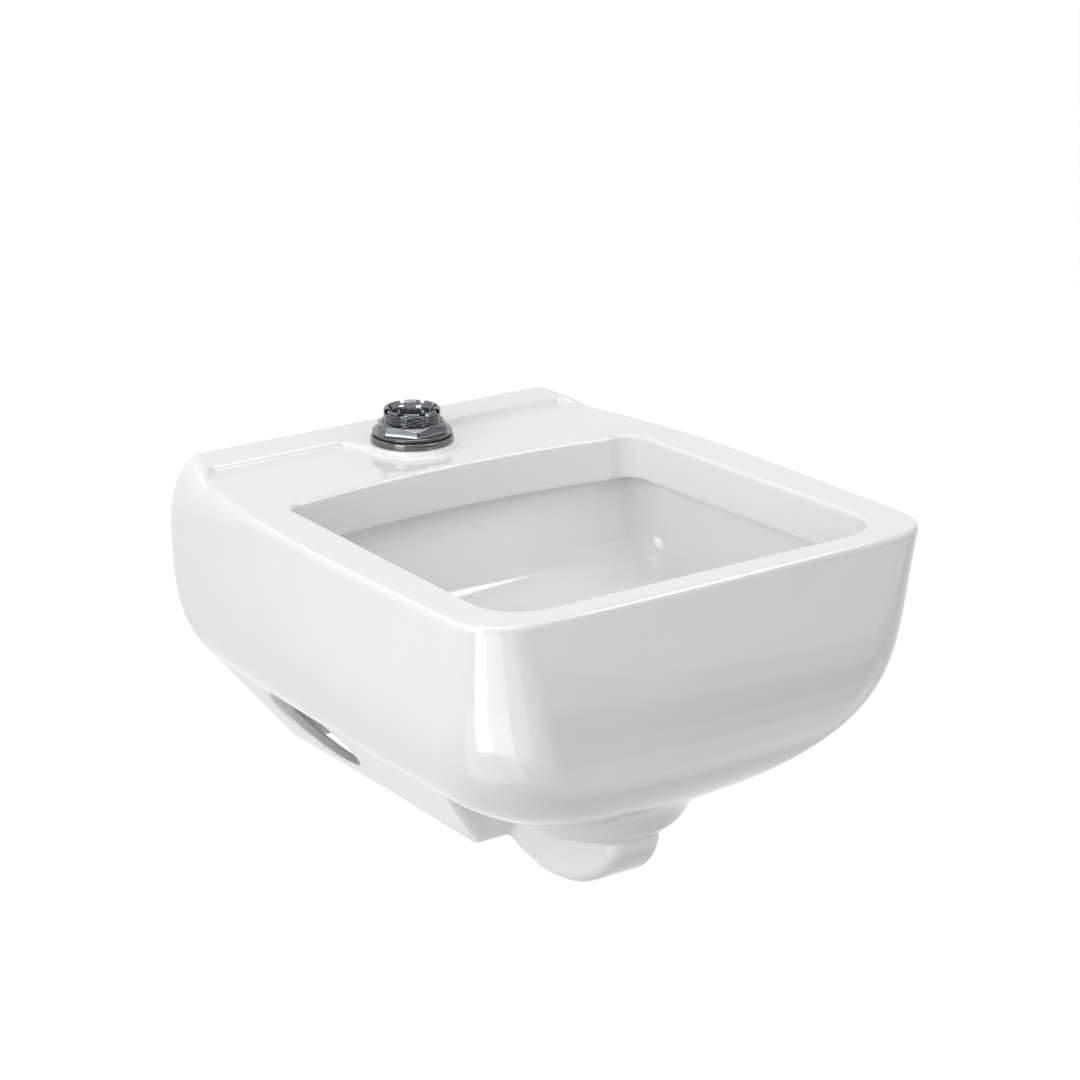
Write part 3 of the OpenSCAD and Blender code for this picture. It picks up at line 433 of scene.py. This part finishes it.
def skin_of(grid, lines):
    """One point in each cell that the surface passes, a face round each grid edge it crosses."""
    inside = grid < 0
    shape = np.array(grid.shape)
    total, points, faces = [], [], []
    for axis in range(3):
        cut = [slice(None)] * 3
        cut[axis] = slice(0, -1)
        up = [slice(None)] * 3
        up[axis] = slice(1, None)
        here = np.array(np.nonzero(inside[tuple(cut)] != inside[tuple(up)]))
        other = here.copy()
        other[axis] += 1
        f0, f1 = grid[tuple(here)], grid[tuple(other)]
        share = f0 / (f0 - f1)
        p = np.array([lines[a][here[a]] for a in range(3)])
        p[axis] += share * (lines[axis][other[axis]] - lines[axis][here[axis]])
        a, b = [c for c in range(3) if c != axis]
        keep = (here[a] > 0) & (here[b] > 0) & (here[a] < shape[a] - 1) & (here[b] < shape[b] - 1)
        here, p, rising = here[:, keep], p[:, keep], (f1 > f0)[keep]
        ring = []
        for da, db in ((-1, -1), (0, -1), (0, 0), (-1, 0)):
            cell = here.copy()
            cell[a] += da
            cell[b] += db
            ring.append((cell[0] * shape[1] + cell[1]) * shape[2] + cell[2])
            total.append(ring[-1])
            points.append(p.T)
        flip = rising if axis != 1 else ~rising
        quad = np.array(ring).T
        faces.append(np.where(flip[:, None], quad[:, ::-1], quad))
    total, points, faces = np.concatenate(total), np.concatenate(points), np.concatenate(faces)
    cells, where = np.unique(total, return_inverse=True)
    count = np.bincount(where)
    middle = np.stack([np.bincount(where, points[:, c]) / count for c in range(3)], 1)
    return middle, np.searchsorted(cells, faces)


def slope_of(p):
    """Value of the china's distance at each point, and its gradient."""
    batch, step = 200000, 0.05
    f = np.empty(len(p))
    g = np.empty((len(p), 3))
    for first in range(0, len(p), batch):
        q = p[first:first + batch]
        f[first:first + batch] = china(q[:, 0], q[:, 1], q[:, 2])
        for c in range(3):
            h = np.zeros(3)
            h[c] = step
            a, b = q + h, q - h
            rise = china(a[:, 0], a[:, 1], a[:, 2]) - china(b[:, 0], b[:, 1], b[:, 2])
            g[first:first + batch, c] = rise / (2 * step)
    return f, g


# Each point is moved onto the surface in two turns, and its normal is the slope there
points, faces = skin_of(grid, (gx, gy, gt))
for turn in range(2):
    f, g = slope_of(points)
    move = -f[:, None] * g / np.maximum((g ** 2).sum(1), 0.05)[:, None]
    points += np.clip(move, -0.6 * mid, 0.6 * mid)
f, normals = slope_of(points)
normals[:, 2] *= -1
normals /= np.maximum(np.linalg.norm(normals, axis=1), 1e-9)[:, None]
spots = np.stack([points[:, 0], points[:, 1], RIM_Z - points[:, 2]], 1) / 1000
spots = np.clip(spots, np.array(solid_low) + 1e-5, np.array(solid_high) - 1e-5)


def new_piece(name, spots, faces, normals=None, crease=35):
    """A mesh object from arrays, with its normals or with creases at its sharp edges."""
    mesh = bpy.data.meshes.new(name)
    faces = faces if isinstance(faces, list) else faces.tolist()
    mesh.from_pydata(np.asarray(spots).tolist(), [], faces)
    mesh.update()
    mesh.polygons.foreach_set("use_smooth", [True] * len(mesh.polygons))
    if normals is None:
        mesh.set_sharp_from_angle(angle=math.radians(crease))
    else:
        mesh.normals_split_custom_set_from_vertices(normals.tolist())
    piece = bpy.data.objects.new(name, mesh)
    bpy.context.scene.collection.objects.link(piece)
    return piece


def colour(code):
    """sRGB hex to the linear values that the shader takes."""
    out = []
    for i in (0, 2, 4):
        c = int(code[i:i + 2], 16) / 255
        out.append(c / 12.92 if c <= 0.04045 else ((c + 0.055) / 1.055) ** 2.4)
    return (*out, 1.0)


def add(tree, kind, settings=None, inputs=None):
    """One node with its settings and with what goes into it."""
    node = tree.nodes.new(kind)
    for name, what in (settings or {}).items():
        setattr(node, name, what)
    for name, what in (inputs or {}).items():
        socket = node.inputs[name]
        if isinstance(what, bpy.types.NodeSocket):
            tree.links.new(what, socket)
        else:
            socket.default_value = what
    return node


def new_finish(name):
    """A material with its shader and object coordinates in mm."""
    finish = bpy.data.materials.new(name)
    finish.use_nodes = True
    tree = finish.node_tree
    shader = tree.nodes["Principled BSDF"]
    place = add(tree, "ShaderNodeTexCoord")
    scaled = add(tree, "ShaderNodeVectorMath", {"operation": "SCALE"},
                 {"Vector": place.outputs["Object"], "Scale": 1000.0})
    return finish, tree, shader, scaled.outputs["Vector"]


def put(tree, shader, **values):
    """Sets or links the shader's sockets, whose names are written with underscores."""
    for name, what in values.items():
        socket = shader.inputs[name.replace("_", " ")]
        if isinstance(what, bpy.types.NodeSocket):
            tree.links.new(what, socket)
        else:
            socket.default_value = what


# Glazed vitreous china: a glass skin over a white body. It has a soft ripple some 30 mm long
# from the spraying, a faint orange peel of about 2 mm and a few pin-prick specks.
glaze, tree, shader, mm = new_finish("glazed_vitreous_china")
ripple = add(tree, "ShaderNodeTexNoise", None,
             {"Vector": mm, "Scale": 1 / 34, "Detail": 2.0, "Roughness": 0.45})
peel = add(tree, "ShaderNodeTexNoise", None, {"Vector": mm, "Scale": 1 / 2.4, "Detail": 1.0})
cloud = add(tree, "ShaderNodeTexNoise", None, {"Vector": mm, "Scale": 1 / 60, "Detail": 3.0})
tint = add(tree, "ShaderNodeMix", {"data_type": "RGBA"},
           {"Factor": cloud.outputs["Fac"], "A": colour("ECECEC"), "B": colour("F1F1F1")})
grain = add(tree, "ShaderNodeTexVoronoi", {"feature": "F1"}, {"Vector": mm, "Scale": 1 / 9})
speck = add(tree, "ShaderNodeMapRange", None,
            {"Value": grain.outputs["Distance"], "From Min": 0.012, "From Max": 0.03,
             "To Min": 0.75, "To Max": 0.0})
china_tone = add(tree, "ShaderNodeMix", {"data_type": "RGBA"},
                 {"Factor": speck.outputs["Result"], "A": tint.outputs["Result"],
                  "B": colour("C9C6BF")})
wave = add(tree, "ShaderNodeBump", None,
           {"Height": ripple.outputs["Fac"], "Distance": 0.0003, "Strength": 0.12})
skin_bump = add(tree, "ShaderNodeBump", None,
                {"Height": peel.outputs["Fac"], "Distance": 0.00002, "Strength": 0.15,
                 "Normal": wave.outputs["Normal"]})
shine = add(tree, "ShaderNodeMapRange", None,
            {"Value": cloud.outputs["Fac"], "To Min": 0.05, "To Max": 0.11})
put(tree, shader, Base_Color=china_tone.outputs["Result"], Roughness=shine.outputs["Result"],
    Normal=skin_bump.outputs["Normal"], IOR=1.52)

sink = new_piece("china_sink", spots, faces, normals)
sink.data.materials.append(glaze)
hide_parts("bowl_body", "flushing_rim", "trap_bend", "trap_riser", "jet_channel")
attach(sink, "root")

# ---- Spud ----
# Threaded brass tube, chrome plated, that brings the flushing water in from above.
# Its flange sits under the deck, and eight notches in its top rim take the fitter's spanner.
BOSS_Z = RIM_Z + BOSS_H
TUBE_R, BORE_R, TUBE_H = 25.4, 19.3, 30.0
TUBE_TOP = BOSS_Z + TUBE_H
FLANGE_R, FLANGE_Z, FLANGE_H = 33.5, 212.0, 3.0
PITCH, THREAD_DEEP = 2.3, 1.15
LATHE_PITCH = 0.2856
THREAD_FROM, THREAD_TO = BOSS_Z + 8, TUBE_TOP - 1.6
NOTCHES, NOTCH_W, NOTCH_DEEP, NOTCH_TURN = 8, 5.5, 3.0, -12.0


def turned(name, columns):
    """A turned piece. Each column is a list of (r, z) at its angle, and all are of one length."""
    spots, faces = [], []
    n, m = len(columns[0][1]), len(columns)
    for a, profile in columns:
        sine, cosine = math.sin(a), math.cos(a)
        spots += [(r * sine / 1000, (SPUD_Y - r * cosine) / 1000, z / 1000) for r, z in profile]
    for c in range(m):
        d = (c + 1) % m
        for i in range(n):
            j = (i + 1) % n
            faces.append([c * n + i, d * n + i, d * n + j, c * n + j])
    return new_piece(name, spots, faces, crease=40)


def tube_profile(a, top):
    """Outline of the tube at one angle. Nothing stands above top, so that a notch is cut there."""
    profile = [(FLANGE_R, FLANGE_Z), (FLANGE_R, FLANGE_Z + FLANGE_H)]
    profile += [(TUBE_R, FLANGE_Z + FLANGE_H), (TUBE_R, THREAD_FROM - 0.4)]
    for z in np.linspace(THREAD_FROM, THREAD_TO, 92):
        phase = (z / PITCH - a / (2 * math.pi)) % 1
        cut = 1 - abs(2 * phase - 1)
        cut = min(max((cut - 0.12) / 0.66, 0), 1)
        fade = min(max((THREAD_TO - z) / 1.4, 0), 1)
        profile.append((TUBE_R - 0.15 - THREAD_DEEP * cut * fade, min(z, top)))
    lip = [(TUBE_R - 0.25, TUBE_TOP - 1.3), (TUBE_R - 0.9, TUBE_TOP - 0.25),
           (TUBE_R - 1.3, TUBE_TOP), (22.9, TUBE_TOP), (22.5, TUBE_TOP - 0.2),
           (20.2, TUBE_TOP - 3.4), (BORE_R, TUBE_TOP - 5.2)]
    profile += [(r, min(z, top)) for r, z in lip]
    return profile + [(BORE_R, BOSS_Z), (BORE_R, FLANGE_Z)]


angles = []
notch_half = math.asin(NOTCH_W / 2 / TUBE_R)
notch_step = 2 * math.pi / NOTCHES
for i in range(NOTCHES):
    middle = math.radians(NOTCH_TURN) + notch_step * i
    for a in np.linspace(-notch_half, notch_half, 7):
        angles.append((middle + a, TUBE_TOP - NOTCH_DEEP))
    for a in np.linspace(notch_half, notch_step - notch_half, 22):
        angles.append((middle + a, TUBE_TOP))
tube = turned("spud_threaded_tube", [(a, tube_profile(a, top)) for a, top in angles])

# Chrome plate on turned brass with faint rings from the lathe, one LATHE_PITCH
# apart. The rings of Blender's wave come every pi / 10 at a scale of 1.
chrome, tree, shader, mm = new_finish("chrome_plated_brass")
smear = add(tree, "ShaderNodeTexNoise", None, {"Vector": mm, "Scale": 1 / 11, "Detail": 3.0})
haze = add(tree, "ShaderNodeMapRange", None,
           {"Value": smear.outputs["Fac"], "To Min": 0.04, "To Max": 0.12})
# The plate colour is painted dark grey, a painted reflection of a dark room round it, so it looks a
# dark mirror; the smear varies it at random.
plate_with_painted_dark_reflection = add(tree, "ShaderNodeMix", {"data_type": "RGBA"},
            {"Factor": smear.outputs["Fac"], "A": colour("6A6B6D"), "B": colour("7E7F81")})
off_axis = add(tree, "ShaderNodeVectorMath", {"operation": "ADD"}, {0: mm, 1: (0.0, -SPUD_Y, 0.0)})
rings = add(tree, "ShaderNodeTexWave", {"wave_type": "RINGS", "rings_direction": "Z"},
            {"Vector": off_axis.outputs["Vector"], "Scale": math.pi / 10 / LATHE_PITCH,
             "Distortion": 0.4, "Detail": 1.0})
lathe = add(tree, "ShaderNodeBump", None,
            {"Height": rings.outputs["Fac"], "Distance": 0.00002, "Strength": 0.12})
put(tree, shader, Base_Color=plate_with_painted_dark_reflection.outputs["Result"], Metallic=1.0,
    Roughness=haze.outputs["Result"], Normal=lathe.outputs["Normal"])
tube.data.materials.append(chrome)
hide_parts("spud_tube")
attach(tube, "root")

# ---- Chrome ring ----
# Plain ring under the locknut, turned from brass and plated. It covers the hole in the deck
# and rests on the boss.
RING_R, RING_BORE_R, RING_H = 36.8, 26.3, 6.0
LOW_R, TOP_R = 0.9, 1.1                    # roundings of its lower and upper edge
ring_profile = [(RING_BORE_R, 0.0), (RING_R - 1.0, 0.0)]
ring_profile += [(RING_R - LOW_R + LOW_R * math.sin(a), LOW_R - LOW_R * math.cos(a))
                 for a in np.linspace(0.2, math.pi / 2, 5)]
ring_profile += [(RING_R - TOP_R + TOP_R * math.cos(a), RING_H - TOP_R + TOP_R * math.sin(a))
                 for a in np.linspace(0, math.pi / 2, 6)]
ring_profile += [(RING_BORE_R + 0.7, RING_H), (RING_BORE_R, RING_H - 0.6)]
ring_profile = [(r, z + BOSS_Z) for r, z in ring_profile]
collar = turned("spud_cover_ring",
                [(a, ring_profile) for a in np.linspace(0, 2 * math.pi, 160, endpoint=False)])
collar.data.materials.append(chrome)
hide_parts("chrome_ring")
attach(collar, "root")

# ---- Locknut ----
# Hexagon nut with a round washer face below. The lathe has cut a cone of thirty degrees
# on its top corners, and it holds the spud, the rings and the gasket tight on the deck.
FRICTION_H = 1.5
NUT_Z = BOSS_Z + RING_H + FRICTION_H
NUT_H, FLAT, FACE_R, FACE_H, NUT_BORE_R = 11.0, 28.5, 35.4, 2.5, 25.5
NUT_TURN, SIXTH = math.radians(-24), math.pi / 3


def nut_profile(a):
    """Outline of the nut at one angle, from the washer face over the hexagon to the bore."""
    hexagon = FLAT / math.cos((a - NUT_TURN) % SIXTH - SIXTH / 2)
    hexagon = min(hexagon, FLAT / math.cos(SIXTH / 2) - 0.35)
    profile = [(26.2, 0.0), (FACE_R - 0.4, 0.0), (FACE_R, 0.4), (FACE_R, FACE_H - 0.4),
               (FACE_R - 0.4, FACE_H), (hexagon + 0.25, FACE_H), (hexagon, FACE_H + 0.3)]
    for z in np.linspace(5.5, NUT_H - 0.25, 12):
        cone = FLAT - 0.9 + (NUT_H - z) / math.tan(math.radians(30))
        profile.append((min(hexagon, cone), z))
    profile += [(FLAT - 1.3, NUT_H), (NUT_BORE_R + 1.8, NUT_H), (NUT_BORE_R + 1.4, NUT_H - 0.1),
                (NUT_BORE_R + 0.1, NUT_H - 1.3), (NUT_BORE_R, NUT_H - 1.5), (NUT_BORE_R, 0.8)]
    return [(r, z + NUT_Z) for r, z in profile]


one_flat = np.radians(np.append(np.linspace(0.8, 59.2, 24), 0))
nut_angles = np.sort(np.concatenate([NUT_TURN + SIXTH * k + one_flat for k in range(6)]))
nut = turned("spud_hex_locknut", [(a, nut_profile(a)) for a in nut_angles])
nut.data.materials.append(chrome)
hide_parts("spud_locknut")
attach(nut, "root")

# ---- Friction ring ----
# Thin dark ring of vulcanised fibre between the nut and the chrome ring, so that the nut turns
# without dragging it. Punched from sheet: matt, with a fine mottled grain.
fibre, tree, shader, mm = new_finish("vulcanised_fibre")
grain = add(tree, "ShaderNodeTexNoise", None, {"Vector": mm, "Scale": 1 / 0.8, "Detail": 4.0})
tone = add(tree, "ShaderNodeMix", {"data_type": "RGBA"},
           {"Factor": grain.outputs["Fac"], "A": colour("17130F"), "B": colour("2C2620")})
dry = add(tree, "ShaderNodeMapRange", None,
          {"Value": grain.outputs["Fac"], "To Min": 0.55, "To Max": 0.8})
nap = add(tree, "ShaderNodeBump", None,
          {"Height": grain.outputs["Fac"], "Distance": 0.00006, "Strength": 0.4})
put(tree, shader, Base_Color=tone.outputs["Result"], Roughness=dry.outputs["Result"],
    Normal=nap.outputs["Normal"])
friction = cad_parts["friction_ring"]
friction.data.materials.clear()
friction.data.materials.append(fibre)

# ---- Gasket ----
# Rubber gasket round the spud, squeezed against the underside of the deck by the flange.
# Moulded: matt black with a fine bloom.
rubber, tree, shader, mm = new_finish("moulded_rubber")
bloom = add(tree, "ShaderNodeTexNoise", None, {"Vector": mm, "Scale": 1 / 3, "Detail": 4.0})
tone = add(tree, "ShaderNodeMix", {"data_type": "RGBA"},
           {"Factor": bloom.outputs["Fac"], "A": colour("1B1B1C"), "B": colour("2A2A2A")})
matt = add(tree, "ShaderNodeMapRange", None,
           {"Value": bloom.outputs["Fac"], "To Min": 0.6, "To Max": 0.85})
put(tree, shader, Base_Color=tone.outputs["Result"], Roughness=matt.outputs["Result"])
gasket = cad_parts["spud_gasket"]
gasket.data.materials.clear()
gasket.data.materials.append(rubber)

# ---- Floor ----
# Pale studio floor. The sink hangs on a wall, so the floor lies well below it. It shows white
# to the camera and in what mirrors it, and lights the underside only as pale paint would.
FLOOR_Z, FLOOR_HALF = -0.56, 9.0
floor_corners = [(x * FLOOR_HALF, y * FLOOR_HALF, FLOOR_Z)
                 for x, y in ((-1, -1), (1, -1), (1, 1), (-1, 1))]
floor = new_piece("studio_floor", floor_corners, [[0, 1, 2, 3]])
pale, tree, shader, mm = new_finish("pale_floor_paint")
patch = add(tree, "ShaderNodeTexNoise", None, {"Vector": mm, "Scale": 1 / 400, "Detail": 3.0})
tone = add(tree, "ShaderNodeMix", {"data_type": "RGBA"},
           {"Factor": patch.outputs["Fac"], "A": colour("B2B2B2"), "B": colour("B8B8B8")})
path = add(tree, "ShaderNodeLightPath")
seen = add(tree, "ShaderNodeMath", {"operation": "MAXIMUM"},
           {0: path.outputs["Is Camera Ray"], 1: path.outputs["Is Glossy Ray"]})
glow = add(tree, "ShaderNodeMath", {"operation": "MULTIPLY"}, {0: seen.outputs["Value"], 1: 0.7})
put(tree, shader, Base_Color=tone.outputs["Result"], Roughness=0.85, Specular_IOR_Level=0.2,
    Emission_Color=(1.0, 1.0, 1.0, 1.0), Emission_Strength=glow.outputs["Value"])
floor.data.materials.append(pale)
floor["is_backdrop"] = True

# ---- Light ----
# Even grey-white room light, with one wide soft lamp at the left and one above.
# The room shows white to the camera and in what mirrors it.
world = bpy.data.worlds.new("studio_room")
bpy.context.scene.world = world
world.use_nodes = True
tree = world.node_tree
room = tree.nodes["Background"]
path = add(tree, "ShaderNodeLightPath")
seen = add(tree, "ShaderNodeMath", {"operation": "MAXIMUM"},
           {0: path.outputs["Is Camera Ray"], 1: path.outputs["Is Glossy Ray"]})
seen = add(tree, "ShaderNodeMath", {"operation": "MAXIMUM"},
           {0: seen.outputs["Value"], 1: path.outputs["Is Transmission Ray"]})
strength = add(tree, "ShaderNodeMapRange", None,
               {"Value": seen.outputs["Value"], "To Min": 0.58, "To Max": 1.0})
room.inputs["Color"].default_value = (1.0, 1.0, 1.0, 1.0)
tree.links.new(strength.outputs["Result"], room.inputs["Strength"])


def soft_lamp(name, at, towards, wide, high, watts, only_shine=False):
    """A rectangular lamp. With only_shine it shows in glaze and chrome but lights nothing else."""
    lamp = bpy.data.lights.new(name, "AREA")
    lamp.shape = "RECTANGLE"
    lamp.size, lamp.size_y, lamp.energy = wide, high, watts
    holder = bpy.data.objects.new(name, lamp)
    holder.location = at
    holder.rotation_euler = (Vector(towards) - Vector(at)).to_track_quat("-Z", "Y").to_euler()
    holder.visible_diffuse = not only_shine
    bpy.context.scene.collection.objects.link(holder)


soft_lamp("left_softbox", (-2.38, -1.0, 0.9), (0, -0.25, 0.1), 1.2, 1.8, 31)
soft_lamp("top_softbox", (0.2, -0.4, 2.4), (0, -0.25, 0.2), 1.6, 1.6, 14)
# Panels that are only mirrored. Those for the front corner overlap, so that its highlight
# fades towards the front and downwards, and so do the pairs that lighten the front.
CORNER, RIM_FRONT, LOW_FRONT = (-0.22, -0.45, 0.15), (0, -0.45, 0.15), (0.1, -0.45, 0.1)
for name, at, towards, wide, high, watts in (
        ("corner_strip", (-0.89, -0.75, -0.28), CORNER, 0.24, 0.68, 1.7),
        ("corner_panel_a", (-0.77, -0.91, -0.3), CORNER, 0.62, 0.78, 2.1),
        ("corner_panel_b", (-0.61, -1.03, -0.34), CORNER, 0.9, 0.86, 2.2),
        ("corner_panel_c", (-0.43, -1.05, -0.42), CORNER, 1.15, 1.15, 2.6),
        ("corner_low_panel", (-0.5, -0.62, -0.4), (-0.18, -0.4, 0.02), 0.6, 0.5, 1.0),
        ("low_panel_a", (0.2, -0.7, -0.5), LOW_FRONT, 1.5, 0.42, 0.9),
        ("low_panel_b", (0.25, -0.76, -0.5), LOW_FRONT, 1.8, 0.6, 1.3),
        ("front_panel_a", (0.6, -1.2, -0.1), RIM_FRONT, 1.6, 0.24, 0.65),
        ("front_panel_b", (0.6, -1.2, -0.14), RIM_FRONT, 1.6, 0.36, 0.9),
        ("front_edge_panel", (0.29, -0.695, 0.6), (0.02, -0.505, 0.225), 0.42, 0.16, 1.8),
        ("left_edge_strip", (-0.35, 1.25, 1.5), (-0.22, -0.25, 0.23), 0.25, 0.9, 1.5)):
    soft_lamp(name, at, towards, wide, high, watts, only_shine=True)

# ---- Camera ----
# Stands at the front left and looks down on the deck, as in the photograph.
# Its place, turn and lens were fitted to the edges of the rim and the deck.
lens = bpy.data.cameras.new("photo_camera")
lens.sensor_width = 36.0
lens.lens = 116.67
lens.clip_end = 50
camera = bpy.data.objects.new("photo_camera", lens)
camera.location = (-1.63556, -2.54271, 1.13522)
turn, tip = math.radians(35.59), math.radians(18.47)
look = Vector((math.sin(turn) * math.cos(tip), math.cos(turn) * math.cos(tip), -math.sin(tip)))
camera.rotation_euler = look.to_track_quat("-Z", "Y").to_euler()
bpy.context.scene.collection.objects.link(camera)
bpy.context.scene.camera = camera
bpy.context.scene.view_settings.view_transform = "Standard"

# ---- Size ----
# Boxes of the solid model and of this one.
low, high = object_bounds()
